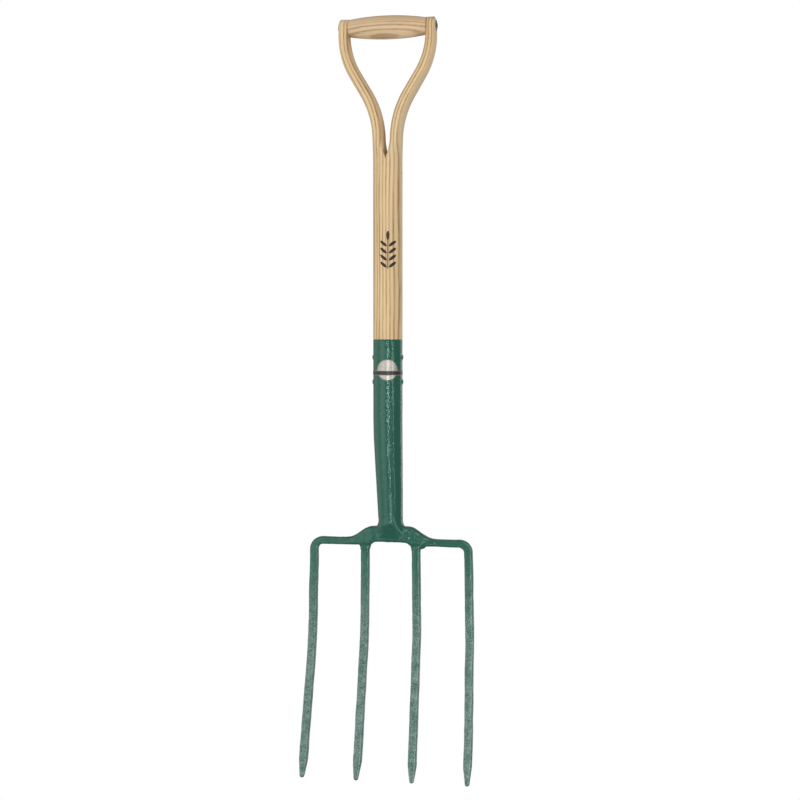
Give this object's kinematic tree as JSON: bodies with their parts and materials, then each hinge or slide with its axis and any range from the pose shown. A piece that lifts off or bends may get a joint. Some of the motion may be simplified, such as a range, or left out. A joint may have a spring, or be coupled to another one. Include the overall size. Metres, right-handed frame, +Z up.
{
  "type": "four-tine garden fork",
  "caption": "Garden fork with four square steel tines, a riveted steel socket, and a forked ash shaft that holds a turned cross grip.",
  "frame": {"origin": "underside of the middle of the grip, on the shaft's axis, where the fork rests on a hook", "axes": "+X along the grip to the user's right as seen from the front, +Y to the back, +Z up the shaft"},
  "size_m": [0.2286, 0.071, 0.991],
  "materials": {
    "ash": "satin",
    "grip_wood": "satin",
    "steel": "satin",
    "paint": "satin",
    "foil": "satin"
  },
  "bodies": {
    "root": {"shaft": "ash", "grip": "grip_wood", "grip_rod": "steel", "grip_washer_left": "steel", "grip_washer_right": "steel", "crotch_rivet": "steel", "crotch_washer_left": "steel", "crotch_washer_right": "steel", "socket": "paint", "socket_weld": "paint", "crown": "paint", "outer_tine_left": "paint", "inner_tine_left": "paint", "inner_tine_right": "paint", "outer_tine_right": "paint", "outer_tine_welds": "paint", "inner_tine_welds": "paint", "socket_rivet_upper": "paint", "socket_rivet_lower": "paint", "label": "foil"}
  },
  "joints": []
}
